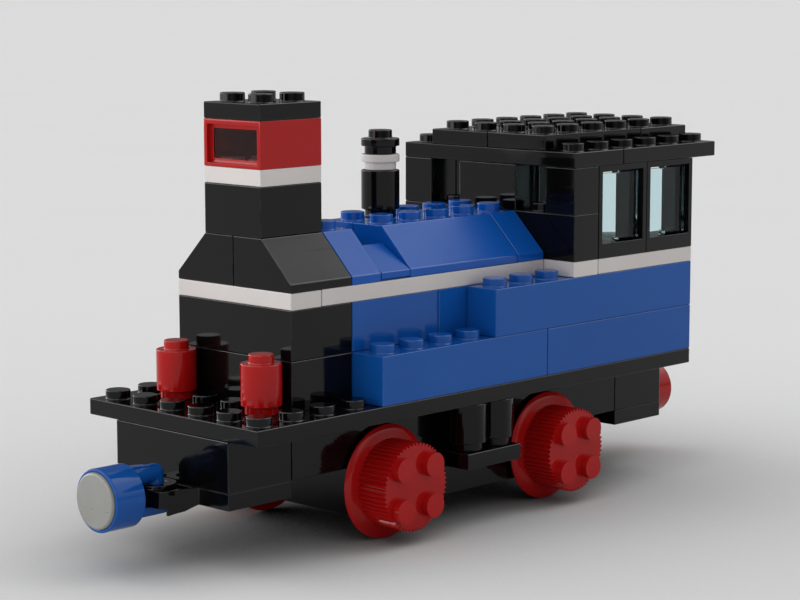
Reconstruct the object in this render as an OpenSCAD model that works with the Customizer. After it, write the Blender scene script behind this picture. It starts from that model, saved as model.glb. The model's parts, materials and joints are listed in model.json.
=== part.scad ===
// Toy train locomotive, built from clutch bricks on a magnet-coupled motor chassis.
// The origin is on the ground, midway between the two axles, on the centre line.
// +X points to the front of the locomotive, +Y to its left side and +Z up.
//
// Brick places are given in grid units: u counts studs back from the front edge of
// the deck, v counts studs out from the centre line and w counts plate heights up
// from the underside of the deck.

/* [Brick grid] */
// Distance between neighbouring studs
pitch = 8; // [7.98:0.01:8.05]
// Height of one plate, a third of a brick
plate_h = 3.2; // [3.15:0.05:3.3]
// Radius of a stud
stud_r = 2.4; // [2.35:0.01:2.4]
// Height of a stud
stud_h = 1.7; // [1.5:0.05:1.75]
// Gap between a brick's side and its grid line
side_gap = 0.1; // [0.08:0.01:0.12]
// Gap between a brick's top and the brick that sits on it
seat_gap = 0.03; // [0.01:0.01:0.05]
// Thickness of a brick's side walls
wall_t = 1.45; // [1.2:0.05:1.45]
// Thickness of a brick's top
top_t = 1.3; // [1:0.05:1.35]
// Outer radius of the tubes under a wide brick
tube_r = 3.2; // [3.1:0.01:3.22]
// Inner radius of those tubes
tube_bore_r = 2.45; // [2.43:0.01:2.5]
// Radius of the pins under a one-stud-wide brick
under_pin_r = 1.55; // [1.4:0.01:1.57]

/* [Sloped and round bricks] */
// Height of the upright lip at the foot of a slope
slope_lip = 1.6; // [1.2:0.1:2]
// Radius of the narrow foot of a round brick
round_foot_r = 3.2; // [3:0.05:3.4]
// Height of the narrow foot of a round brick
round_foot_h = 1.6; // [1.4:0.1:2]
// Height of the small slopes that fill the boiler's notch
small_slope_h = 6.2; // [5.8:0.1:6.4]

/* [Lamp] */
// Height of the lamp housing
lamp_h = 9; // [8.8:0.1:9.6]
// Thickness of the lamp housing's walls
lamp_wall = 1; // [0.8:0.1:1.4]

/* [Cab windows] */
// Width of a window frame's upright stiles
stile_w = 1.25; // [1:0.05:1.5]
// Height of a window frame's sill
sill_h = 3; // [2.8:0.1:3.4]
// Height of a window frame's head rail
head_h = 1.3; // [1.2:0.1:2]
// How far the pane sits behind the frame's outer face
pane_inset = 1.3; // [1:0.1:2]
// Thickness of a pane
pane_t = 1; // [0.8:0.1:1.5]

/* [Wheels and axles] */
// Distance between the two axles
wheelbase = 48; // [47.6:0.1:48.1]
// Radius of a wheel's flange
flange_r = 11.2; // [11:0.05:11.4]
// Height of the deck's underside above the axles
axle_drop = 13.36; // [13.2:0.02:13.4]
// Distance from the centre line to the back of a flange
flange_back = 16.4; // [16.3:0.05:16.6]
// Distance from the centre line to a wheel's outer face
wheel_face = 24.9; // [24.5:0.1:25.2]
// Radius over the ribs of a wheel's drum
drum_r = 8.6; // [8.4:0.05:8.8]
// Depth of those ribs
rib_depth = 0.5; // [0.3:0.05:0.7]
// Number of ribs round a wheel's drum
rib_count = 56; // [40:1:72]
// Height of the studs on a wheel's outer face
wheel_stud_h = 1.5; // [1.4:0.05:1.8]
// Radius of an axle
axle_r = 1.5; // [1.2:0.05:1.6]

/* [Motor and gears] */
// Thickness of the motor casing's walls
casing_wall = 1.5; // [1.2:0.1:1.6]
// Radius of the electric motor
motor_r = 7.2; // [6.5:0.1:7.3]
// Module of the gear teeth
gear_module = 0.6; // [0.6:0.002:0.61]
// Width of every gear's teeth
gear_w = 2.4; // [2:0.1:2.4]
// Radius of the fixed pins that the loose gears turn on
gear_pin_r = 0.9; // [0.7:0.05:1]
// Radius of the motor's shaft
shaft_r = 1; // [0.8:0.05:1]

/* [Magnet couplers] */
// Distance from the origin to a coupler's pivot
pivot_x = 68; // [67.8:0.1:68.2]
// Height of a coupler's centre line below the deck's underside
coupler_drop = 10.35; // [10:0.05:10.5]
// Radius of a coupler's round holder
holder_r = 5.93; // [5.8:0.01:6]
// Distance from the pivot to the holder's back face
holder_back = 7; // [6.9:0.1:7.4]
// Length of the round holder
holder_len = 6.6; // [6.2:0.1:7]
// Radius of a magnet
magnet_r = 5.3; // [5:0.05:5.4]
// How far a magnet stands out of its holder
magnet_proud = 0.6; // [0.3:0.1:1]
// Radius of the pivot hole in a coupling plate's tongue
pivot_hole_r = 2.3; // [2.1:0.05:2.4]

/* [Hidden] */
$fn = 48;

black = "#1b1b1d";
blue = "#1b4fa8";
red = "#b8161b";
white = "#dedad3";
steel = "silver";
brass = "goldenrod";

eps = 0.1;            // overlap that fuses one shape into the next
fit = 0.05;           // radial clearance of a running fit
press = 0.01;         // radial clearance of a press fit
brick_w = 3;          // a brick's height in plates
brick_h = brick_w * plate_h;
brick_r = pitch / 2 - side_gap;   // radius of a round brick

deck_z = flange_r + axle_drop;
deck_len = 16;        // length of the deck in studs
deck_half = 3;        // half the deck's width in studs
boiler_half = 2;      // half the boiler's width in studs
inner_side = side_gap + wall_t;

// Height of each storey in plates above the deck's underside
base_course_w = 1;
upper_course_w = 4;
band_w = 7;
slope_w = 8;
roof_w = 14;
chimney_w = 11;

// Place of each storey's breaks in studs from the deck's front edge
smokebox_u = 2;
boiler_u = 4;
cab_u = 11;
cab_wall_u = 12;

function grid_x(u) = (deck_len / 2 - u) * pitch;
function grid_z(w) = deck_z + w * plate_h;

// ---- Brick shapes ---------------------------------------------------------

// Puts its children at a grid place, with local +X forward from the rear edge
module at_grid(u, v, w, nu) {
    translate([grid_x(u + nu), v * pitch, grid_z(w)]) children();
}

// A stud on a top face that is one seat gap below the grid height z
module stud(x, y, z) {
    translate([x, y, z - eps]) cylinder(r = stud_r, h = stud_h - seat_gap + eps);
}

module stud_grid(nu, nv, z) {
    for (i = [0 : nu - 1], j = [0 : nv - 1])
        stud((i + 0.5) * pitch, (j + 0.5) * pitch, z);
}

module tube(h) {
    difference() {
        cylinder(r = tube_r, h = h);
        translate([0, 0, -eps]) cylinder(r = tube_bore_r, h = h);
    }
}

// Tubes between four studs, or pins between two on a one-stud-wide brick
module under_clutch(nu, nv, h) {
    if (nu > 1 && nv > 1)
        for (i = [1 : nu - 1], j = [1 : nv - 1])
            translate([i * pitch, j * pitch, 0]) tube(h);
    else if (nu > 1)
        for (i = [1 : nu - 1])
            translate([i * pitch, pitch / 2, 0]) cylinder(r = under_pin_r, h = h);
    else if (nv > 1)
        for (j = [1 : nv - 1])
            translate([pitch / 2, j * pitch, 0]) cylinder(r = under_pin_r, h = h);
}

module brick_shell(nu, nv, h) {
    difference() {
        translate([side_gap, side_gap, 0])
            cube([nu * pitch - 2 * side_gap, nv * pitch - 2 * side_gap, h - seat_gap]);
        translate([inner_side, inner_side, -eps])
            cube([nu * pitch - 2 * inner_side, nv * pitch - 2 * inner_side, h - top_t + eps]);
    }
}

// A brick or plate nu studs long, nv studs wide and nw plates high
module brick(u, v, w, nu, nv, nw) {
    h = nw * plate_h;
    at_grid(u, v, w, nu) {
        brick_shell(nu, nv, h);
        under_clutch(nu, nv, h - top_t + eps);
        stud_grid(nu, nv, h);
    }
}

// A round one-stud brick or plate with a narrow foot
module round_brick(u, v, w, nw, foot_h) {
    h = nw * plate_h;
    translate([grid_x(u), v * pitch, grid_z(w)]) {
        difference() {
            union() {
                cylinder(r = round_foot_r, h = foot_h + eps);
                translate([0, 0, foot_h]) cylinder(r = brick_r, h = h - foot_h - seat_gap);
            }
            translate([0, 0, -eps]) cylinder(r = tube_bore_r, h = h - top_t + eps);
        }
        stud(0, 0, h);
    }
}

// Extrudes a (y, z) outline along X between two places
module along_x(x0, x1) {
    translate([x0, 0, 0]) rotate([90, 0, 90]) linear_extrude(x1 - x0) children();
}

slope_span = 2 * pitch;
slope_bite = 0.4;     // how far a slope's tubes run into its ceiling

// Outline of the hollow under a slope, from a height low, with its ceiling raised by a lift
module slope_hollow(low, lift) {
    outer = slope_span - inner_side;
    foot = stud_h + 0.2;
    ceiling = brick_h - top_t - 0.2;
    polygon([[inner_side, low], [outer, low], [outer, foot + lift],
        [outer - ceiling + foot, ceiling + lift], [inner_side, ceiling + lift]]);
}

// A 45 degree slope two studs wide: the inner stud is flat, the outer one slopes down
module roof_slope(u, nu, side) {
    crest = brick_h - seat_gap;
    at_grid(u, 0, slope_w, nu) mirror([0, side < 0 ? 1 : 0, 0]) {
        difference() {
            along_x(side_gap, nu * pitch - side_gap)
                polygon([[side_gap, 0], [slope_span - side_gap, 0],
                    [slope_span - side_gap, slope_lip],
                    [slope_span - side_gap - crest + slope_lip, crest], [side_gap, crest]]);
            along_x(inner_side, nu * pitch - inner_side) slope_hollow(-eps, 0);
        }
        intersection() {
            under_clutch(nu, 2, brick_h);
            along_x(0, nu * pitch) slope_hollow(0, slope_bite);
        }
        stud_grid(nu, 1, brick_h);
    }
}

// A one-stud slope, two plates high, with a finger groove under its lip
module small_slope(u, side) {
    groove_h = 0.35;
    groove_d = 0.6;
    crest = 0.5;
    at_grid(u, 0, slope_w, 1) mirror([0, side < 0 ? 1 : 0, 0]) translate([0, pitch, 0])
        difference() {
            along_x(side_gap, pitch - side_gap)
                polygon([[side_gap, 0], [pitch - side_gap - groove_d, 0],
                    [pitch - side_gap - groove_d, groove_h], [pitch - side_gap, groove_h],
                    [pitch - side_gap, slope_lip], [crest, small_slope_h],
                    [side_gap, small_slope_h]]);
            translate([pitch / 2, pitch / 2, -eps])
                cylinder(r = tube_bore_r, h = stud_h + 0.2 + eps);
        }
}

// ---- Gears ----------------------------------------------------------------

pressure_angle = 25;
backlash = 0.08;
addendum = 0.85;      // in modules
dedendum = 1.2;       // in modules
motor_teeth = 10;
large_teeth = 24;
small_teeth = 12;

function pitch_r(teeth) = teeth * gear_module / 2;
function involute(a) = tan(a) * 180 / PI - a;

// Half the angle that a tooth spans at radius r
function half_tooth(teeth, r) =
    let (base = pitch_r(teeth) * cos(pressure_angle))
    90 / teeth - backlash / 2 / pitch_r(teeth) * 180 / PI + involute(pressure_angle)
        - (r > base ? involute(acos(base / r)) : 0);

function polar(r, a) = [r * cos(a), r * sin(a)];

// Outline of a spur gear with a tooth centred on angle phase
function gear_outline(teeth, phase) =
    let (p = pitch_r(teeth), root = p - dedendum * gear_module,
        tip = p + addendum * gear_module, base = max(root, p * cos(pressure_angle)),
        radii = [root, base, (base + tip) / 2, tip])
    [for (i = [0 : teeth - 1], side = [-1, 1], k = [0 : 3])
        let (r = radii[side < 0 ? k : 3 - k])
        polar(r, phase + i * 360 / teeth + side * half_tooth(teeth, r))];

// Phase that puts gear j in mesh with gear i, which lies towards it at angle a
function mesh_phase(a, phase_i, teeth_i, teeth_j) =
    a + 180 - (0.5 - (a - phase_i) * teeth_i / 360) * 360 / teeth_j;

// Draws a shape of the (x, z) plane as a slab from y0, w thick, along +Y
module slab_y(y0, w) {
    translate([0, y0 + w, 0]) rotate([90, 0, 0]) linear_extrude(w) children();
}

module rod_y(x, z, r, y0, y1) {
    translate([x, y0, z]) rotate([-90, 0, 0]) cylinder(r = r, h = y1 - y0);
}

module spur_gear(place, teeth, phase, y0) {
    translate([place[0], 0, place[1]])
        slab_y(y0, gear_w) polygon(gear_outline(teeth, phase));
}

// Places of the gears in the (x, z) plane: both halves of the train mirror each other
axle_x = wheelbase / 2;
axle_z = flange_r;
train_drop = 9.6;     // depth of the motor's shaft below the deck's underside
train_z = deck_z - train_drop;
mesh_small = 2 * pitch_r(small_teeth);
reduction_x = pitch_r(motor_teeth) + pitch_r(large_teeth);
span_x = axle_x - reduction_x;
span_z = axle_z - train_z;
span = norm([span_x, span_z]);
rise = sqrt(mesh_small * mesh_small - span * span / 4);
idler_x = reduction_x + span_x / 2 - rise * span_z / span;
idler_z = train_z + span_z / 2 + rise * span_x / span;

// Layers of the train along Y
bulkhead_y = 6.4;
bulkhead_t = 1;
layer_gap = 0.2;
large_y = bulkhead_y + bulkhead_t + layer_gap;
small_y = large_y + gear_w + layer_gap;
gear_end = small_y + gear_w;

function reduction_place(dir) = [dir * reduction_x, train_z];
function idler_place(dir) = [dir * idler_x, idler_z];
function axle_place(dir) = [dir * axle_x, axle_z];
function angle_to(a, b) = atan2(b[1] - a[1], b[0] - a[0]);
function large_phase(dir) =
    mesh_phase(angle_to([0, train_z], reduction_place(dir)), 0, motor_teeth, large_teeth);
function idler_phase(dir) =
    mesh_phase(angle_to(reduction_place(dir), idler_place(dir)), 0, small_teeth, small_teeth);
function axle_phase(dir) =
    mesh_phase(angle_to(idler_place(dir), axle_place(dir)), idler_phase(dir),
        small_teeth, small_teeth);

module motor_pinion() {
    color(brass) difference() {
        spur_gear([0, train_z], motor_teeth, 0, large_y);
        rod_y(0, train_z, shaft_r + press, large_y - eps, large_y + gear_w + eps);
    }
}

module reduction_gear(dir) {
    color(white) difference() {
        union() {
            spur_gear(reduction_place(dir), large_teeth, large_phase(dir), large_y);
            rod_y(dir * reduction_x, train_z, pitch_r(small_teeth) * 0.7, large_y, small_y + eps);
            spur_gear(reduction_place(dir), small_teeth, 0, small_y);
        }
        rod_y(dir * reduction_x, train_z, gear_pin_r + fit, large_y - eps, gear_end + eps);
    }
}

module idler_gear(dir) {
    color(white) difference() {
        spur_gear(idler_place(dir), small_teeth, idler_phase(dir), small_y);
        rod_y(dir * idler_x, idler_z, gear_pin_r + fit, small_y - eps, gear_end + eps);
    }
}

module axle_gear(dir) {
    color(white) difference() {
        spur_gear(axle_place(dir), small_teeth, axle_phase(dir), small_y);
        rod_y(dir * axle_x, axle_z, axle_r + press, small_y - eps, gear_end + eps);
    }
}

// ---- Chassis --------------------------------------------------------------

beam_w = -3;
plate_w = -4;
casing_u = 2;
casing_len = 12;      // length of the casing's upper part in studs
box_u = 4;
box_len = 8;          // length of its lower box in studs
box_w = -6;
casing_y = boiler_half * pitch - side_gap;
box_x = box_len * pitch / 2 - side_gap;
box_z = grid_z(box_w);
axle_hole_r = axle_r + fit;
pin_end = casing_y - casing_wall / 2;
idler_pin_start = small_y - layer_gap / 2;
idler_boss_r = 1.9;
motor_boss_r = 2.4;
screw_x = box_x - casing_wall - 2.6;
screw_r = 1;
screw_len = 7.5;
boss_r = 2.2;

module base_plate() {
    color(black) brick(0, -deck_half, 0, deck_len, 2 * deck_half, 1);
}

module end_beams() {
    color(black) for (u = [0, deck_len - 2])
        brick(u, -boiler_half, beam_w, 2, 2 * boiler_half, brick_w);
}

module casing_shell() {
    upper_x = casing_len * pitch / 2 - side_gap;
    upper_z = grid_z(beam_w);
    floor_t = casing_wall;
    difference() {
        union() {
            translate([-upper_x, -casing_y, upper_z])
                cube([2 * upper_x, 2 * casing_y, deck_z - upper_z]);
            translate([-box_x, -casing_y, box_z])
                cube([2 * box_x, 2 * casing_y, upper_z - box_z + eps]);
        }
        translate([-upper_x + casing_wall, -casing_y + casing_wall, upper_z + floor_t])
            cube([2 * (upper_x - casing_wall), 2 * (casing_y - casing_wall),
                deck_z - upper_z - floor_t - casing_wall]);
        translate([-box_x + casing_wall, -casing_y + casing_wall, box_z - eps])
            cube([2 * (box_x - casing_wall), 2 * (casing_y - casing_wall),
                upper_z + floor_t - box_z + 2 * eps]);
    }
}

module motor_casing() {
    color(black) {
        difference() {
            union() {
                casing_shell();
                translate([-box_x + eps, bulkhead_y, box_z + casing_wall])
                    cube([2 * (box_x - eps), bulkhead_t, deck_z - box_z - 2 * casing_wall + eps]);
                for (dir = [-1, 1]) {
                    translate([dir * screw_x, 0, box_z + casing_wall])
                        cylinder(r = boss_r, h = deck_z - box_z - 2 * casing_wall + eps);
                    rod_y(dir * idler_x, idler_z, idler_boss_r, gear_end + layer_gap,
                        casing_y - casing_wall + eps);
                }
            }
            for (dir = [-1, 1]) {
                rod_y(dir * axle_x, axle_z, axle_hole_r, -casing_y - eps, casing_y + eps);
                rod_y(dir * reduction_x, train_z, gear_pin_r + press, bulkhead_y - eps, pin_end);
                rod_y(dir * idler_x, idler_z, gear_pin_r + press, gear_end, pin_end);
                translate([dir * screw_x, 0, box_z])
                    cylinder(r = screw_r + press, h = screw_len + 0.5);
            }
            rod_y(0, train_z, motor_boss_r + fit, bulkhead_y - eps,
                bulkhead_y + bulkhead_t + eps);
        }
        for (u = [casing_u, casing_u + casing_len - 2])
            at_grid(u, -boiler_half, 0, 2) stud_grid(2, 2 * boiler_half, 0);
    }
}

module motor_cover() {
    inset = casing_wall + fit;
    color(black) difference() {
        translate([-box_x + inset, -casing_y + inset, box_z])
            cube([2 * (box_x - inset), 2 * (casing_y - inset), casing_wall]);
        for (dir = [-1, 1]) translate([dir * screw_x, 0, box_z - eps]) {
            cylinder(r = screw_r + fit, h = casing_wall + 2 * eps);
            cylinder(r = 2 * screw_r + fit, h = casing_wall / 2 + eps);
        }
    }
}

module cover_screws() {
    slot_w = 0.5;
    color(steel) for (dir = [-1, 1]) translate([dir * screw_x, 0, box_z])
        difference() {
            union() {
                cylinder(r = 2 * screw_r, h = casing_wall / 2);
                cylinder(r = screw_r, h = screw_len);
            }
            for (turn = [0, 90]) rotate([0, 0, turn])
                translate([-1.2 * screw_r, -slot_w / 2, -eps])
                    cube([2.4 * screw_r, slot_w, 0.4 + eps]);
        }
}

can_back = -12;       // place of the motor's closed end along Y

module motor_can() {
    can_front = bulkhead_y - layer_gap;
    color(steel) difference() {
        union() {
            rod_y(0, train_z, motor_r, can_back, can_front);
            rod_y(0, train_z, motor_boss_r, can_front - eps, bulkhead_y + bulkhead_t);
        }
        rod_y(0, train_z, shaft_r + fit, can_back + 1, bulkhead_y + bulkhead_t + eps);
    }
}

module motor_shaft() {
    color(steel) rod_y(0, train_z, shaft_r, can_back + 1 + eps, large_y + gear_w + 0.3);
}

module gear_pins() {
    color(steel) for (dir = [-1, 1]) {
        rod_y(dir * reduction_x, train_z, gear_pin_r, bulkhead_y, pin_end - fit);
        rod_y(dir * idler_x, idler_z, gear_pin_r, idler_pin_start, pin_end - fit);
    }
}

axle_end = wheel_face - 3.5;

module axle(dir) {
    color(steel) rod_y(dir * axle_x, axle_z, axle_r, -axle_end, axle_end);
}

// Outline of a ribbed drum: a ring of rounded ridges
function rib_outline() =
    [for (i = [0 : rib_count - 1], k = [0 : 3])
        let (a = (i + [0, 0.3, 0.5, 0.8][k]) * 360 / rib_count,
            r = k == 1 || k == 2 ? drum_r : drum_r - rib_depth)
        polar(r, a)];

module wheel(x_dir, side) {
    rim_t = 0.5;
    cone_y = 17.9;
    color(red) translate([x_dir * axle_x, 0, axle_z]) mirror([0, side < 0 ? 1 : 0, 0])
        difference() {
            union() {
                rotate([-90, 0, 0]) rotate_extrude($fn = 96)
                    polygon([[0, flange_back], [flange_r - 0.3, flange_back],
                        [flange_r, flange_back + 0.3], [flange_r, flange_back + rim_t],
                        [flange_r - 0.4, flange_back + 0.85], [drum_r - rib_depth, cone_y],
                        [0, cone_y]]);
                slab_y(flange_back + 0.6, wheel_face - flange_back - 0.6)
                    polygon(rib_outline());
                for (i = [-1, 1], k = [-1, 1])
                    rod_y(i * pitch / 2, k * pitch / 2, stud_r, wheel_face - eps,
                        wheel_face + wheel_stud_h);
            }
            rod_y(0, 0, axle_r + press, flange_back - eps, axle_end + fit);
        }
}

// ---- Magnet couplers ------------------------------------------------------

tongue_front = 71.6;
tongue_half = 6.2;
tongue_flare = 1.6;
tongue_corner = 1.8;
collar_r = 4.1;
collar_top = grid_z(beam_w) + 0.6;
coupler_z = deck_z - coupler_drop;
neck_len = 6;
arm_r = 1.75;
arm_z = collar_top + fit + arm_r;

// Half the tongue's width at a distance from the end beam's face, less an inset
function tongue_side(d, inset) =
    tongue_half - inset + (d < neck_len ? tongue_flare * pow(1 - d / neck_len, 2) : 0);

module tongue_outline(inset) {
    beam_x = grid_x(0);
    steps = 6;
    corner_x = tongue_front - tongue_corner;
    corner_y = tongue_half - tongue_corner;
    side = concat(
        [for (i = [0 : steps]) let (d = i * neck_len / steps)
            [beam_x - side_gap + d, tongue_side(d, inset)]],
        [for (i = [1 : steps]) let (a = 90 - i * 90 / steps)
            [corner_x, corner_y] + polar(tongue_corner - inset, a)]);
    flip = [for (i = [len(side) - 1 : -1 : 0]) [side[i][0], -side[i][1]]];
    polygon(concat(side, flip));
}

module tongue() {
    top_z = grid_z(beam_w);
    low_z = grid_z(plate_w);
    skirt_z = low_z - 1.4;
    skirt_x = grid_x(0) + neck_len;
    skirt_t = 0.6;
    rim = 0.9;
    groove = 0.7;
    difference() {
        union() {
            difference() {
                translate([0, 0, low_z]) linear_extrude(plate_h) tongue_outline(0);
                intersection() {
                    translate([grid_x(0) + 0.6, -pitch, top_z - groove])
                        cube([pitch, 2 * pitch, plate_h]);
                    translate([0, 0, top_z - groove]) linear_extrude(plate_h)
                        tongue_outline(rim);
                }
            }
            intersection() {
                translate([pivot_x, 0, low_z]) cylinder(r = collar_r, h = collar_top - low_z);
                translate([grid_x(0) + fit, -pitch, low_z]) cube([pitch, 2 * pitch, pitch]);
            }
            intersection() {
                translate([0, 0, skirt_z]) linear_extrude(top_z - skirt_z - 1)
                    tongue_outline(0);
                for (side = [-1, 1])
                    translate([0, side > 0 ? pitch : -tongue_half + skirt_t, 0])
                        rotate([90, 0, 0]) linear_extrude(pitch - tongue_half + skirt_t)
                        polygon([[grid_x(0) - side_gap, low_z + eps], [grid_x(0), low_z],
                            [grid_x(0) + neck_len * 0.4, low_z - 1],
                            [skirt_x, skirt_z], [skirt_x, low_z + eps]]);
            }
        }
        translate([pivot_x, 0, skirt_z]) cylinder(r = pivot_hole_r, h = pitch);
    }
}

module coupling_plate() {
    color(black) {
        brick(0, -boiler_half, plate_w, 2, 2 * boiler_half, 1);
        tongue();
    }
}

// A round outline with a rounded front edge, from the back at 0 to the front at len
function round_end(r, len, edge) = concat([[0, 0], [r, 0]],
    [for (i = [0 : 4]) let (a = i * 90 / 4) [r - edge, len - edge] + polar(edge, a)],
    [[0, len]]);

module along_coupler(x) {
    translate([pivot_x + x, 0, coupler_z]) rotate([0, 90, 0]) children();
}

magnet_depth = 3.1;

module magnet_holder() {
    low_z = grid_z(plate_w) - 0.15;
    arm_t = 1.65;
    journal_r = pivot_hole_r - fit;
    web_t = 2;
    difference() {
        union() {
            along_coupler(holder_back) rotate_extrude($fn = 96)
                polygon(round_end(holder_r, holder_len, 0.3));
            translate([pivot_x, 0, arm_z]) rotate([0, 90, 0])
                cylinder(r = arm_r, h = holder_back - 1.5);
            translate([pivot_x, 0, collar_top + fit]) cylinder(r = arm_r, h = arm_r);
            translate([pivot_x, 0, arm_z]) sphere(r = arm_r);
            translate([pivot_x, 0, low_z - arm_t])
                cylinder(r = journal_r, h = collar_top - 0.3 - low_z + arm_t);
            translate([pivot_x, 0, collar_top - 0.4]) cylinder(r = arm_r, h = arm_r);
            translate([pivot_x, -journal_r, low_z - arm_t])
                cube([holder_back + 1, 2 * journal_r, arm_t]);
            translate([pivot_x, web_t / 2, 0]) rotate([90, 0, 0]) linear_extrude(web_t)
                polygon([[1, arm_z - 0.8 * arm_r], [1, arm_z + 0.8 * arm_r],
                    [2.2, arm_z + arm_r], [holder_back + 0.5, coupler_z + holder_r - 0.6],
                    [holder_back + 0.5, arm_z - 0.8 * arm_r]]);
        }
        along_coupler(holder_back + holder_len - magnet_depth)
            cylinder(r = magnet_r + fit, h = magnet_depth + eps, $fn = 96);
    }
}

module magnet() {
    color("#8f908b") along_coupler(holder_back + holder_len - magnet_depth)
        rotate_extrude($fn = 96)
        polygon(round_end(magnet_r, magnet_depth + magnet_proud, 0.5));
}

module to_rear() {
    rotate([0, 0, 180]) children();
}

// ---- Steps and lamps ------------------------------------------------------

step_u = 7;

module step_plates() {
    color(black) for (v = [-deck_half, deck_half - 1]) brick(step_u, v, plate_w, 2, 1, 1);
}

module step_posts() {
    color(black) for (u = [0.5, 1.5], side = [-1, 1])
        round_brick(step_u + u, side * (deck_half - 0.5), beam_w, brick_w, round_foot_h);
}

module front_lamps() {
    color(red) for (side = [-1, 1])
        round_brick(1.5, side * 1.5, base_course_w, brick_w, round_foot_h);
}

// ---- Body -----------------------------------------------------------------

module smokebox_bricks() {
    color(black) for (w = [base_course_w, upper_course_w])
        brick(smokebox_u, -boiler_half, w, 2, 2 * boiler_half, brick_w);
}

module boiler_base_bricks() {
    color(blue) for (u = [boiler_u, boiler_u + 6], v = [-deck_half, -1, 1])
        brick(u, v, base_course_w, 6, 2, brick_w);
}

module boiler_short_bricks() {
    color(blue) for (v = [-boiler_half, 0]) brick(boiler_u, v, upper_course_w, 3, 2, brick_w);
}

module boiler_long_bricks() {
    color(blue) for (u = [boiler_u + 3, cab_wall_u], v = [-boiler_half, 0])
        brick(u, v, upper_course_w, 4, 2, brick_w);
}

module boiler_cross_brick() {
    color(blue) brick(cab_u, -boiler_half, upper_course_w, 1, 2 * boiler_half, brick_w);
}

module upper_side_bricks() {
    color(blue) for (v = [-deck_half, boiler_half])
        brick(deck_len / 2, v, upper_course_w, 8, 1, brick_w);
}

module smokebox_band() {
    color(white) brick(smokebox_u, -boiler_half, band_w, 1, 2 * boiler_half, 1);
}

module boiler_band() {
    color(white) brick(smokebox_u + 1, -boiler_half, band_w, 8, 2 * boiler_half, 1);
}

module cab_front_band() {
    color(white) brick(cab_u, -deck_half, band_w, 1, 2 * deck_half, 1);
}

module cab_floor_band() {
    color(white) brick(cab_wall_u, -deck_half, band_w, 4, 2 * deck_half, 1);
}

module smokebox_slopes() {
    color(black) for (side = [-1, 1]) roof_slope(smokebox_u, 2, side);
}

module narrow_boiler_slopes() {
    color(blue) for (u = [boiler_u, cab_u - 1], side = [-1, 1]) roof_slope(u, 1, side);
}

module small_boiler_slopes() {
    color(blue) for (side = [-1, 1]) small_slope(boiler_u + 1, side);
}

module long_boiler_slopes() {
    color(blue) for (side = [-1, 1]) roof_slope(boiler_u + 2, 4, side);
}

// ---- Chimney and steam pipe -----------------------------------------------

lamp_w = chimney_w + brick_w + 1;
lamp_front = grid_x(smokebox_u) - side_gap;
recess_d = 0.95;
recess_frame = 0.55;
recess_edge = 1;      // width of the outer border round the recess
sash_w = 0.8;         // width of the inner border round the pane
recess_low = 0.65;
recess_high = lamp_h - recess_edge;

module chimney_brick() {
    color(black) brick(smokebox_u, -1, chimney_w, 2, 2, brick_w);
}

module chimney_band() {
    color(white) brick(smokebox_u, -1, chimney_w + brick_w, 2, 2, 1);
}

module lamp_opening(edge, low, high, x0, x1) {
    translate([x0, -pitch + edge, low]) cube([x1 - x0, 2 * (pitch - edge), high - low]);
}

module lamp_housing() {
    inner = side_gap + lamp_wall;
    back = lamp_front - recess_d - recess_frame;
    color(red) translate([0, 0, grid_z(lamp_w)]) {
        difference() {
            translate([grid_x(smokebox_u + 2) + side_gap, -pitch + side_gap, 0])
                cube([2 * (pitch - side_gap), 2 * (pitch - side_gap), lamp_h - seat_gap]);
            translate([grid_x(smokebox_u + 2) + inner, -pitch + inner, -eps])
                cube([back - grid_x(smokebox_u + 2) - inner, 2 * (pitch - inner),
                    lamp_h - top_t + eps]);
            lamp_opening(recess_edge, recess_low, recess_high, lamp_front - recess_d,
                lamp_front + eps);
            lamp_opening(recess_edge + sash_w, recess_low + sash_w, recess_high - sash_w,
                back - eps, lamp_front);
        }
        translate([grid_x(smokebox_u + 2), -pitch, 0]) stud_grid(2, 2, lamp_h);
    }
}

module lamp_window() {
    color("#2b2326") translate([0, 0, grid_z(lamp_w)])
        lamp_opening(recess_edge + sash_w + fit, recess_low + sash_w + fit,
            recess_high - sash_w - fit, lamp_front - recess_d - recess_frame + fit,
            lamp_front - recess_d - fit);
}

module chimney_cap() {
    color(black) translate([0, 0, lamp_h - brick_h])
        brick(smokebox_u, -1, lamp_w + brick_w, 2, 2, 1);
}

pipe_u = 7.5;
pipe_v = -0.5;

module steam_pipe_brick() {
    color(black) round_brick(pipe_u, pipe_v, chimney_w, brick_w, round_foot_h);
}

module steam_pipe_band() {
    color(white) round_brick(pipe_u, pipe_v, chimney_w + brick_w, 1, round_foot_h);
}

module steam_pipe_cap() {
    color(black) round_brick(pipe_u, pipe_v, chimney_w + brick_w + 1, 1, round_foot_h);
}

// ---- Cab ------------------------------------------------------------------

frame_h = 2 * brick_h;
frame_u = [cab_wall_u, cab_wall_u + 2];
pane_gap = 0.45;      // gap above and below a pane, filled by its hinge nubs

module cab_front_wall() {
    color(black) brick(cab_u, -deck_half, slope_w, 1, 2 * deck_half, brick_w);
}

module cab_corner_bricks() {
    color(black) for (v = [-deck_half, deck_half - 1])
        brick(cab_u, v, slope_w + brick_w, 1, 1, brick_w);
}

module cab_centre_brick() {
    color(black) brick(cab_u, -1, slope_w + brick_w, 1, 2, brick_w);
}

// Puts its children at each window, with local +Y facing out of the cab
module at_windows() {
    for (u = frame_u, side = [-1, 1])
        at_grid(u, 0, slope_w, 2) mirror([0, side < 0 ? 1 : 0, 0])
            translate([0, (deck_half - 1) * pitch, 0]) children();
}

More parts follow.
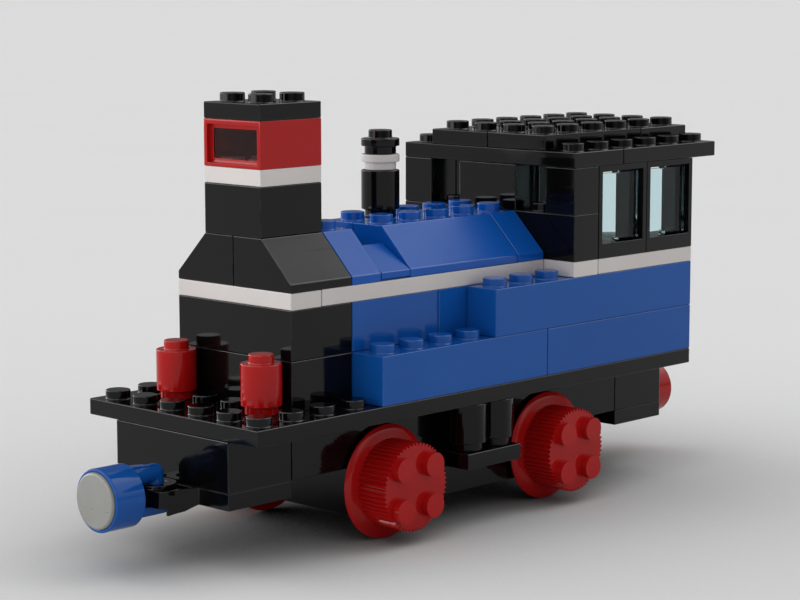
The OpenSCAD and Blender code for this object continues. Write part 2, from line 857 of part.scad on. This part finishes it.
module window_frames() {
    foot = stud_h + 0.1;
    color(black) at_windows() {
        difference() {
            translate([side_gap, side_gap, 0])
                cube([2 * (pitch - side_gap), pitch - 2 * side_gap, frame_h - seat_gap]);
            translate([stile_w, -eps, sill_h])
                cube([2 * (pitch - stile_w), pitch + 2 * eps, frame_h - sill_h - head_h]);
            translate([inner_side, inner_side, -eps])
                cube([2 * (pitch - inner_side), pitch - 2 * inner_side, foot + eps]);
        }
        under_clutch(2, 1, foot + eps);
        stud_grid(2, 1, frame_h);
    }
}

module window_panes() {
    nub_len = 2;
    pane_y = pitch - side_gap - pane_inset - pane_t;
    pane_h = frame_h - sill_h - head_h - 2 * pane_gap;
    nub_r = [pane_gap + 0.15, pane_gap];      // lower and upper
    color("#a9d6dd") at_windows() translate([0, pane_y, sill_h + pane_gap]) {
        translate([stile_w + fit, 0, 0]) cube([2 * (pitch - stile_w - fit), pane_t, pane_h]);
        for (end = [0, 1])
            translate([pitch - nub_len / 2, pane_t / 2 - 0.2,
                end * pane_h + (1 - 2 * end) * (nub_r[end] - pane_gap)]) rotate([0, 90, 0])
                cylinder(r = nub_r[end] - fit, h = nub_len);
    }
}

module front_roof_plate() {
    color(black) brick(cab_u, -deck_half, roof_w, 2, 2 * deck_half, 1);
}

module rear_roof_plate() {
    color(black) brick(cab_u + 2, -deck_half, roof_w, 4, 2 * deck_half, 1);
}

module roof_top_plates() {
    color(black) {
        for (v = [-boiler_half, 0]) brick(cab_u, v, roof_w + 1, 4, 2, 1);
        brick(cab_u + 4, -boiler_half, roof_w + 1, 2, 2 * boiler_half, 1);
    }
}

// ---- Nodes ----------------------------------------------------------------

base_plate();
end_beams();
coupling_plate();  // front_coupling_plate
to_rear() coupling_plate();  // rear_coupling_plate
color(blue) magnet_holder();  // front_magnet_holder
magnet();  // front_magnet
color(red) to_rear() magnet_holder();  // rear_magnet_holder
to_rear() magnet();  // rear_magnet
motor_casing();
motor_cover();
cover_screws();
motor_can();
motor_shaft();
motor_pinion();
reduction_gear(1);  // front_reduction_gear
reduction_gear(-1);  // rear_reduction_gear
idler_gear(1);  // front_idler_gear
idler_gear(-1);  // rear_idler_gear
gear_pins();
axle(1);  // front_axle
axle(-1);  // rear_axle
axle_gear(1);  // front_axle_gear
axle_gear(-1);  // rear_axle_gear
wheel(1, 1);  // front_left_wheel
wheel(1, -1);  // front_right_wheel
wheel(-1, 1);  // rear_left_wheel
wheel(-1, -1);  // rear_right_wheel
step_plates();
step_posts();
front_lamps();
smokebox_bricks();
boiler_base_bricks();
boiler_short_bricks();
boiler_long_bricks();
boiler_cross_brick();
upper_side_bricks();
smokebox_band();
boiler_band();
cab_front_band();
cab_floor_band();
smokebox_slopes();
narrow_boiler_slopes();
small_boiler_slopes();
long_boiler_slopes();
chimney_brick();
chimney_band();
lamp_housing();
lamp_window();
chimney_cap();
steam_pipe_brick();
steam_pipe_band();
steam_pipe_cap();
cab_front_wall();
cab_corner_bricks();
cab_centre_brick();
window_frames();
window_panes();
front_roof_plate();
rear_roof_plate();
roof_top_plates();
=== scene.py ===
"""Looks for the toy train locomotive: moulded plastic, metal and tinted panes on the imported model."""

import json
import math

import bpy
from mathutils import Matrix, Vector

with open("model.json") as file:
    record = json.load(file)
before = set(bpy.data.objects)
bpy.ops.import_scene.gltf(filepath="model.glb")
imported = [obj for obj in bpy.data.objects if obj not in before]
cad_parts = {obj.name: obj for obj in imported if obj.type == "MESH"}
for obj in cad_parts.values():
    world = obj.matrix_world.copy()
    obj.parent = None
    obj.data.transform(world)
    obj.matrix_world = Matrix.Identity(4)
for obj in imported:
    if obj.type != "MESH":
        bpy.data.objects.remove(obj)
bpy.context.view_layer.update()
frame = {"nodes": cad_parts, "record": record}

MM = 0.001


# ---- Node graphs ----------------------------------------------------------

class Graph:
    """The node graph of a material or a world, with short calls for the nodes it is built from."""

    def __init__(self, owner, coords="Object"):
        owner.use_nodes = True
        self.owner = owner
        self.tree = owner.node_tree
        self.tree.nodes.clear()
        self.coords = self.node("ShaderNodeTexCoord").outputs[coords]

    def node(self, kind, inputs=None, **settings):
        """A new node. An input is a value, or the output of another node."""
        made = self.tree.nodes.new(kind)
        for key, value in settings.items():
            setattr(made, key, value)
        for key, value in (inputs or {}).items():
            if isinstance(value, bpy.types.NodeSocket):
                self.tree.links.new(value, made.inputs[key])
            else:
                made.inputs[key].default_value = value
        return made

    def math(self, operation, a, b=0.0):
        return self.node("ShaderNodeMath", {0: a, 1: b}, operation=operation).outputs[0]

    def noise(self, scale, detail=2.0, roughness=0.5, coords=None):
        made = self.node("ShaderNodeTexNoise", {"Vector": coords or self.coords, "Scale": scale,
                                                "Detail": detail, "Roughness": roughness})
        return made.outputs["Fac"]

    def spread(self, factor, low, high, start=0.0, end=1.0):
        """factor between start and end, stretched to run from low to high."""
        made = self.node("ShaderNodeMapRange", {"Value": factor, "From Min": start, "From Max": end,
                                                "To Min": low, "To Max": high})
        return made.outputs["Result"]

    def stretched(self, stretch, turn=(0.0, 0.0, 0.0)):
        """The coordinates scaled by stretch and turned, for noise that runs in one direction."""
        made = self.node("ShaderNodeMapping", {"Vector": self.coords, "Scale": stretch,
                                               "Rotation": turn})
        return made.outputs["Vector"]

    def upward(self, direction):
        """How far a direction points up: 1 is straight up."""
        return self.node("ShaderNodeSeparateXYZ", {0: direction}).outputs["Z"]

    def mix(self, factor, a, b):
        made = self.node("ShaderNodeMix", {0: factor, 6: a, 7: b}, data_type="RGBA")
        return made.outputs[2]

    def tint(self, colour, value):
        made = self.node("ShaderNodeHueSaturation", {"Color": rgba(colour), "Value": value})
        return made.outputs["Color"]

    def bump(self, height, distance, strength=1.0, normal=None):
        inputs = {"Height": height, "Distance": distance, "Strength": strength}
        if normal is not None:
            inputs["Normal"] = normal
        return self.node("ShaderNodeBump", inputs).outputs["Normal"]

    def finish(self, shader, output="ShaderNodeOutputMaterial"):
        """Makes shader the result of the graph, and returns the material or world it belongs to."""
        self.node(output, {"Surface": shader})
        return self.owner

    def surface(self, inputs):
        """Finishes a material with a Principled shader that has these inputs."""
        return self.finish(self.node("ShaderNodeBsdfPrincipled", inputs).outputs["BSDF"])


def rgba(colour):
    return (*colour, 1.0)


def material_graph(name, edge, grained=False):
    """A graph for the finish of a piece's faces or, with edge, of its bevelled edges."""
    kind = ("_grained" if grained else "") + ("_edge" if edge else "")
    return Graph(bpy.data.materials.new(name + kind))


# ---- Finishes -------------------------------------------------------------

SCRATCH_RUNS = (            # stretch and turn of the noise that each run of scratches is cut from
    ((60, 60, 1500), (0.5, 0.2, 0.1)),
    ((1700, 50, 50), (0.1, 0.4, 0.9)),
)

# Moulded plastic
PLASTIC_IOR = 1.45
GLOSS = 0.07                # roughness of a clean face
SHEEN = 0.28                # specular level
EDGE_SHEEN = 0.75           # the same on edges that face up: a painted highlight that makes top edges catch bright lines
EDGE_FADE = 0.015           # how far rubbed edges turn pale
SCRATCH_ROUGHNESS = 0.08    # what a scratch adds
RUB_ROUGHNESS = 0.12        # what a rubbed edge adds
SLOPE_ROUGHNESS = 0.26      # what the grain of a sloping face adds
SLOPE_GRAIN = 1900          # per metre
SLOPE_GRAIN_DEPTH = 9e-6    # metres
LEAST_SLOPE = 0.2           # a face is a slope if it points up by more than this
MOST_SLOPE = 0.95           # and by less than this

PANE_IOR = 1.25             # low, so that a pane bends what is behind it only a little

# Colours, as linear red, green and blue
BLACK = (0.002, 0.002, 0.0022)
BLUE = (0.005, 0.080, 0.345)
GRAINED_BLUE = (0.003, 0.084, 0.405)
RED = (0.395, 0.006, 0.006)
WHITE = (0.625, 0.590, 0.573)
NATURAL_NYLON = (0.7, 0.68, 0.6)
STEEL = (0.62, 0.61, 0.59)
BRASS = (0.76, 0.55, 0.24)
MAGNET_GREY = (0.26, 0.263, 0.245)
CLEAR_BLUE = (0.66, 0.87, 0.90)
SMOKE = (0.48, 0.32, 0.32)


def scratches(g):
    """A mask of a few hairline scratches, running in two directions."""
    masks = []
    for stretch, turn in SCRATCH_RUNS:
        lines = g.noise(1.0, detail=1.0, coords=g.stretched(stretch, turn))
        masks.append(g.spread(lines, 0.0, 1.0, start=0.7, end=0.74))
    return g.math("MAXIMUM", *masks)


def plastic(name, colour, gloss=GLOSS, edge=False, grained=False):
    """Glossy moulded plastic: each brick has its own slight tone, its faces are a little wavy
    and smudged, and its edges are rubbed paler and duller. Sloping faces can be fine-grained."""
    g = material_graph(name, edge, grained)
    geometry = g.node("ShaderNodeNewGeometry")
    brick_tone = g.spread(geometry.outputs["Random Per Island"], 0.96, 1.04)
    clouds = g.spread(g.noise(55, detail=3), -0.03, 0.03, start=0.3, end=0.7)
    base = g.tint(colour, g.math("ADD", brick_tone, clouds))
    marks = scratches(g)
    smudges = g.spread(g.noise(85, detail=5, roughness=0.6), gloss * 0.75, gloss * 1.6,
                       start=0.35, end=0.75)
    roughness = g.math("ADD", smudges, g.math("MULTIPLY", marks, SCRATCH_ROUGHNESS))
    waves = g.bump(g.noise(130, detail=1), distance=3e-6)
    pores = g.bump(g.noise(2600, detail=2), distance=3e-7, normal=waves)
    normal = g.bump(marks, distance=1e-6, strength=0.4, normal=pores)
    sheen = SHEEN
    if edge:
        rub = g.spread(g.noise(420, detail=4, roughness=0.6), 0.0, 1.0, start=0.35, end=0.65)
        pale = tuple(c + (1 - c) * EDGE_FADE for c in colour)
        base = g.mix(rub, base, rgba(pale))
        roughness = g.math("ADD", roughness, g.math("MULTIPLY", rub, RUB_ROUGHNESS))
        # Painted highlight: edges that face up get a higher specular level, so top edges show bright
        # lines.
        facing_up = g.upward(geometry.outputs["Normal"])
        sheen = g.spread(facing_up, SHEEN, EDGE_SHEEN, start=0.1, end=0.4)
    elif grained:
        slant = g.upward(geometry.outputs["True Normal"])
        sloping = g.math("MULTIPLY", g.math("GREATER_THAN", slant, LEAST_SLOPE),
                         g.math("LESS_THAN", slant, MOST_SLOPE))
        roughness = g.math("ADD", roughness, g.math("MULTIPLY", sloping, SLOPE_ROUGHNESS))
        grain = g.noise(SLOPE_GRAIN, detail=2, roughness=0.6)
        normal = g.bump(grain, SLOPE_GRAIN_DEPTH, strength=sloping, normal=normal)
    return g.surface({"Base Color": base, "Roughness": roughness, "IOR": PLASTIC_IOR,
                      "Specular IOR Level": sheen, "Normal": normal})


def gear_plastic(edge=False):
    """Waxy self-lubricating plastic with a fine matte grain."""
    g = material_graph("gear_plastic", edge)
    tone = g.spread(g.noise(300, detail=4), 0.94, 1.04, start=0.3, end=0.7)
    return g.surface({
        "Base Color": g.tint(NATURAL_NYLON, tone),
        "Roughness": g.spread(g.noise(900, detail=3), 0.34, 0.5),
        "Normal": g.bump(g.noise(3500, detail=3), distance=2e-6),
        "Subsurface Weight": 0.15, "Subsurface Scale": 1 * MM})


def metal(name, colour, roughness, edge=False):
    """Metal turned about the axles' direction, with fine rings and smoother rubbed edges."""
    g = material_graph(name, edge)
    rings = g.noise(1.0, detail=3, coords=g.stretched((80, 5200, 80)))
    tone = g.spread(g.noise(160, detail=4), 0.88, 1.05, start=0.3, end=0.7)
    roughest = roughness * (1.0 if edge else 1.5)
    return g.surface({
        "Base Color": g.tint(colour, tone), "Metallic": 1.0,
        "Roughness": g.spread(rings, roughness * 0.7, roughest, start=0.3, end=0.7),
        "Normal": g.bump(rings, distance=1.5e-6)})


def magnet_metal(edge=False):
    """Satin plated magnet with a fine grain and a few handling marks."""
    g = material_graph("magnet", edge)
    tone = g.spread(g.noise(240, detail=5, roughness=0.6), 0.93, 1.06, start=0.3, end=0.7)
    satin = g.spread(g.noise(1200, detail=3), 0.36, 0.5, start=0.3, end=0.7)
    if edge:
        satin = g.math("MULTIPLY", satin, 0.7)
    return g.surface({
        "Base Color": g.tint(MAGNET_GREY, tone), "Metallic": 0.35,
        "Roughness": g.math("SUBTRACT", satin, g.math("MULTIPLY", scratches(g), 0.12)),
        "Normal": g.bump(g.noise(4200, detail=2), distance=1e-6)})


def pane(name, colour, edge=False):
    """Clear tinted plastic that lets light through its shadows, with faint smears."""
    g = material_graph(name, edge)
    smears = g.spread(g.noise(120, detail=5, roughness=0.6), 0.0, 0.05, start=0.45, end=0.8)
    if edge:
        smears = g.math("ADD", smears, 0.08)
    clear = g.node("ShaderNodeBsdfPrincipled", {
        "Base Color": rgba(colour), "Roughness": smears, "IOR": PANE_IOR,
        "Transmission Weight": 1.0, "Normal": g.bump(g.noise(110, detail=1), distance=2e-6)})
    shade = g.node("ShaderNodeBsdfTransparent", {"Color": rgba(colour)})
    shadow_ray = g.node("ShaderNodeLightPath").outputs["Is Shadow Ray"]
    mixed = g.node("ShaderNodeMixShader", {0: shadow_ray, 1: clear.outputs["BSDF"],
                                           2: shade.outputs["BSDF"]})
    return g.finish(mixed.outputs["Shader"])


def both(make, *args, **more):
    """A finish for a piece's faces and one for its bevelled edges."""
    return make(*args, **more), make(*args, edge=True, **more)


FINISHES = {
    "black_plastic": both(plastic, "black_plastic", BLACK),
    "blue_plastic": both(plastic, "blue_plastic", BLUE),
    "red_plastic": both(plastic, "red_plastic", RED),
    "white_plastic": both(plastic, "white_plastic", WHITE, gloss=0.1),
    "gear_plastic": both(gear_plastic),
    "steel": both(metal, "steel", STEEL, roughness=0.22),
    "brass": both(metal, "brass", BRASS, roughness=0.25),
    "magnet": both(magnet_metal),
    "clear_pane": both(pane, "clear_pane", CLEAR_BLUE),
    "smoke_pane": both(pane, "smoke_pane", SMOKE),
}
GRAINED_FINISHES = {
    "black_plastic": both(plastic, "black_plastic", BLACK, grained=True),
    "blue_plastic": both(plastic, "blue_plastic", GRAINED_BLUE, grained=True),
}


# ---- Pieces ---------------------------------------------------------------

GRAINED = ("smokebox_slopes", "narrow_boiler_slopes", "small_boiler_slopes", "long_boiler_slopes")
TOOTHED = ("front_left_wheel", "front_right_wheel", "rear_left_wheel", "rear_right_wheel",
           "motor_pinion", "front_reduction_gear", "rear_reduction_gear", "front_idler_gear",
           "rear_idler_gear", "front_axle_gear", "rear_axle_gear")
FRAMED = ("lamp_housing",)  # a face with a hole in it is better left in triangles

WELD = 1e-6                 # metres within which the tessellation's split corners are joined
SHARP = math.radians(28)    # edges that turn by more than this get a bevel
FLAT = math.radians(0.3)    # triangles that turn by less than this are one flat face

BEVEL = 0.2                 # mm
FINE_BEVELS = {             # the bevel in mm of each piece that needs a finer one
    "front_axle": 0.15, "rear_axle": 0.15,
    "front_magnet_holder": 0.12, "rear_magnet_holder": 0.12,
    "small_boiler_slopes": 0.12, "window_frames": 0.12,
    "front_magnet": 0.1, "rear_magnet": 0.1,
    "front_coupling_plate": 0.1, "rear_coupling_plate": 0.1,
    "motor_shaft": 0.1, "gear_pins": 0.1, "lamp_housing": 0.1,
    "window_panes": 0.08,
    "cover_screws": 0.06, "lamp_window": 0.06,
}


def shape_edges(name, obj):
    """Joins the tessellation, and rounds every sharp edge or keeps the toothed pieces crisp."""
    mesh = obj.data
    for attribute in ("custom_normal", "sharp_edge", "sharp_face"):
        if attribute in mesh.attributes:
            mesh.attributes.remove(mesh.attributes[attribute])
    mesh.polygons.foreach_set("use_smooth", [True] * len(mesh.polygons))
    weld = obj.modifiers.new("weld", "WELD")
    weld.merge_threshold = WELD
    if name in TOOTHED:
        crisp = obj.modifiers.new("crisp", "EDGE_SPLIT")
        crisp.split_angle = SHARP
        return
    if name not in FRAMED:
        flat = obj.modifiers.new("flat_faces", "DECIMATE")
        flat.decimate_type = "DISSOLVE"
        flat.angle_limit = FLAT
    bevel = obj.modifiers.new("bevel", "BEVEL")
    bevel.width = FINE_BEVELS.get(name, BEVEL) * MM
    bevel.segments = 2
    bevel.limit_method = "ANGLE"
    bevel.angle_limit = SHARP
    bevel.material = 1
    bevel.miter_outer = "MITER_ARC"
    bevel.use_clamp_overlap = False
    shading = obj.modifiers.new("shading", "WEIGHTED_NORMAL")
    shading.mode = "FACE_AREA_WITH_ANGLE"


def dress(name, obj, slot):
    """Gives a piece its slot's finish: one material for the faces and the next for the edges."""
    face, edge = (GRAINED_FINISHES if name in GRAINED else FINISHES)[slot]
    obj.data.materials.clear()
    obj.data.materials.append(face)
    obj.data.materials.append(edge)
    obj.data.polygons.foreach_set("material_index", [0] * len(obj.data.polygons))
    shape_edges(name, obj)


def dress_all():
    slots = {part["node"]: part["material_slot"] for part in frame["record"]["subparts"]}
    for name, obj in frame["nodes"].items():
        dress(name, obj, slots[name])


# ---- Floor ----------------------------------------------------------------

FLOOR_SIZE = 60.0           # metres
FLOOR_SHIFT = (7.0, -5.0)   # keeps the diagonal between its two triangles away from the toy
FLOOR_COLOUR = (0.8, 0.8, 0.8)
PAINTED_SHADE_REACH = 0.3         # metres within which painted shade darkens the floor round the toy
PAINTED_SHADE_DEPTH = 0.7         # how strongly it does


def floor_finish():
    """Matt card with painted shade: its colour darkens a little under and close round whatever stands
    on it.
    """
    g = material_graph("floor", edge=False)
    tone = g.spread(g.noise(9, detail=3), 0.995, 1.005, start=0.3, end=0.7)
    # Painted shade: ambient occlusion darkens the floor's colour close round the toy.
    openness = g.node("ShaderNodeAmbientOcclusion", {"Distance": PAINTED_SHADE_REACH}, samples=8)
    painted_shade = g.math("POWER", openness.outputs["AO"], PAINTED_SHADE_DEPTH)
    return g.surface({"Base Color": g.tint(FLOOR_COLOUR, g.math("MULTIPLY", tone, painted_shade)),
                      "Roughness": 0.85, "Specular IOR Level": 0.0})


def make_floor():
    half = FLOOR_SIZE / 2
    corners = [(x + FLOOR_SHIFT[0], y + FLOOR_SHIFT[1], 0.0)
               for x, y in ((-half, -half), (half, -half), (half, half), (-half, half))]
    mesh = bpy.data.meshes.new("floor")
    mesh.from_pydata(corners, [], [(0, 1, 2, 3)])
    mesh.materials.append(floor_finish())
    floor = bpy.data.objects.new("floor", mesh)
    bpy.context.scene.collection.objects.link(floor)


# ---- Light ----------------------------------------------------------------

# Each studio light is one or more soft patches: azimuths, elevation, width in degrees, brightness
LIGHTS = {
    "right_strip": ((0, 20, 40, 60, 80), 7, 9, 4.1),
    "right_fill": ((0, 60, 90), 40, 11, 0.25),
    "front_fill": ((105,), 22, 10, 0.4),
    "camera_card": ((135,), 22, 10, 2.1),
    "left_cards": ((195, 225), 22, 10, 1.1),
    "rear_left_box": ((240,), 40, 11, 1.0),
    "rear_box": ((270,), 40, 11, 1.7),
    "overhead": ((22, 112, 248), 60, 12, 1.5),
}
ROOM_LIGHT = 0.16           # what the dark room gives in every direction
BACKDROP = (0.7, 0.7, 0.7)  # what shows beyond the floor's edge, the same tone as the floor


def towards(azimuth, elevation):
    """Unit vector from the object towards a place. Azimuth 0 is the place that looks along +Y."""
    a, e = math.radians(azimuth), math.radians(elevation)
    return Vector((math.sin(a) * math.cos(e), -math.cos(a) * math.cos(e), math.sin(e)))


def light_patch(g, azimuth, elevation, width, brightness):
    """A round patch of light, brightest in its middle and fading away over its width."""
    aim = towards(azimuth, elevation)
    along = g.node("ShaderNodeVectorMath", {0: g.coords, 1: aim}, operation="DOT_PRODUCT")
    off_centre = g.math("SUBTRACT", along.outputs["Value"], 1.0)
    falloff = g.math("EXPONENT", g.math("DIVIDE", off_centre, math.radians(width) ** 2))
    return g.math("MULTIPLY", falloff, brightness)


def make_light():
    """Soft patches of light in a dark room. Only the camera sees the plain backdrop."""
    g = Graph(bpy.data.worlds.new("studio"), coords="Generated")
    total = ROOM_LIGHT
    for azimuths, elevation, width, brightness in LIGHTS.values():
        for azimuth in azimuths:
            total = g.math("ADD", light_patch(g, azimuth, elevation, width, brightness), total)
    camera_ray = g.node("ShaderNodeLightPath").outputs["Is Camera Ray"]
    seen = g.mix(camera_ray, total, rgba(BACKDROP))
    background = g.node("ShaderNodeBackground", {"Color": seen})
    scene = bpy.context.scene
    scene.world = g.finish(background.outputs["Background"], output="ShaderNodeOutputWorld")
    scene.view_settings.view_transform = "Standard"


# ---- Camera ---------------------------------------------------------------

CAMERA_PLACE = Vector((333.22, 318.39, 107.79)) * MM
CAMERA_AZIMUTH = 133.906    # degrees; 0 looks along +Y
CAMERA_ELEVATION = 8.058
CAMERA_ROLL = -0.067
CAMERA_LENS = 102.365       # mm
SENSOR_WIDTH = 36.0         # mm
NEAREST_SEEN = 0.01         # metres
FARTHEST_SEEN = 2 * FLOOR_SIZE


def make_camera():
    back = towards(CAMERA_AZIMUTH, CAMERA_ELEVATION)
    right = Vector((0, 0, 1)).cross(back).normalized()
    up = back.cross(right)
    roll = math.radians(CAMERA_ROLL)
    rolled_right = math.cos(roll) * right + math.sin(roll) * up
    rolled_up = math.cos(roll) * up - math.sin(roll) * right
    data = bpy.data.cameras.new("camera")
    data.lens = CAMERA_LENS
    data.sensor_width = SENSOR_WIDTH
    data.clip_start = NEAREST_SEEN
    data.clip_end = FARTHEST_SEEN
    camera = bpy.data.objects.new("camera", data)
    turn = Matrix((rolled_right, rolled_up, back)).transposed()
    camera.matrix_world = Matrix.Translation(CAMERA_PLACE) @ turn.to_4x4()
    bpy.context.scene.collection.objects.link(camera)
    bpy.context.scene.camera = camera


dress_all()
make_floor()
make_light()
make_camera()
